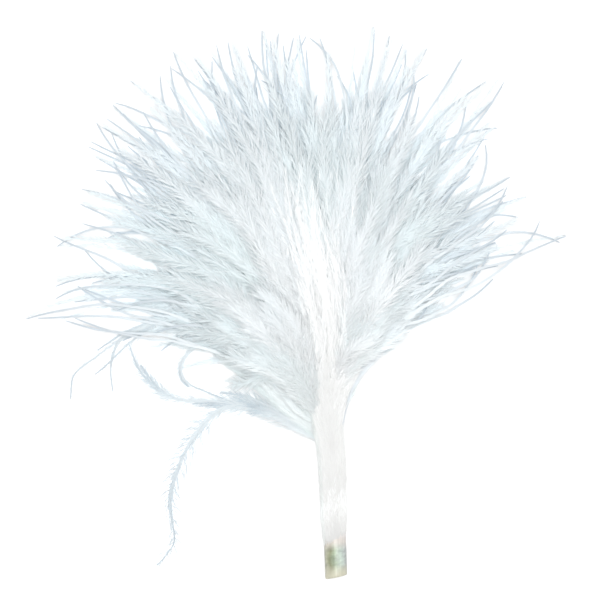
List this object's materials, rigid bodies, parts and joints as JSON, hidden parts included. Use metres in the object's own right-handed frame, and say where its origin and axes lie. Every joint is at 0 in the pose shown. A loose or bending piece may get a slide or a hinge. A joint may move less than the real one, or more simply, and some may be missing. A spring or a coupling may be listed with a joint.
{
  "type": "ostrich feather",
  "caption": "Small white ostrich down feather with a bare hollow quill end, lying flat: a fan of soft pointed locks that grow from one stem.",
  "frame": {"origin": "middle of the feather's box, on the surface it lies on", "axes": "+Y from the quill's cut end towards the far tips of the fan, +X to the right as seen from above with +Y up, +Z up from the surface"},
  "size_m": [0.1301, 0.1331, 0.0278],
  "materials": {
    "down": "soft white down with pale blue-grey tips"
  },
  "bodies": {
    "root": {"feather": "down"}
  },
  "joints": []
}
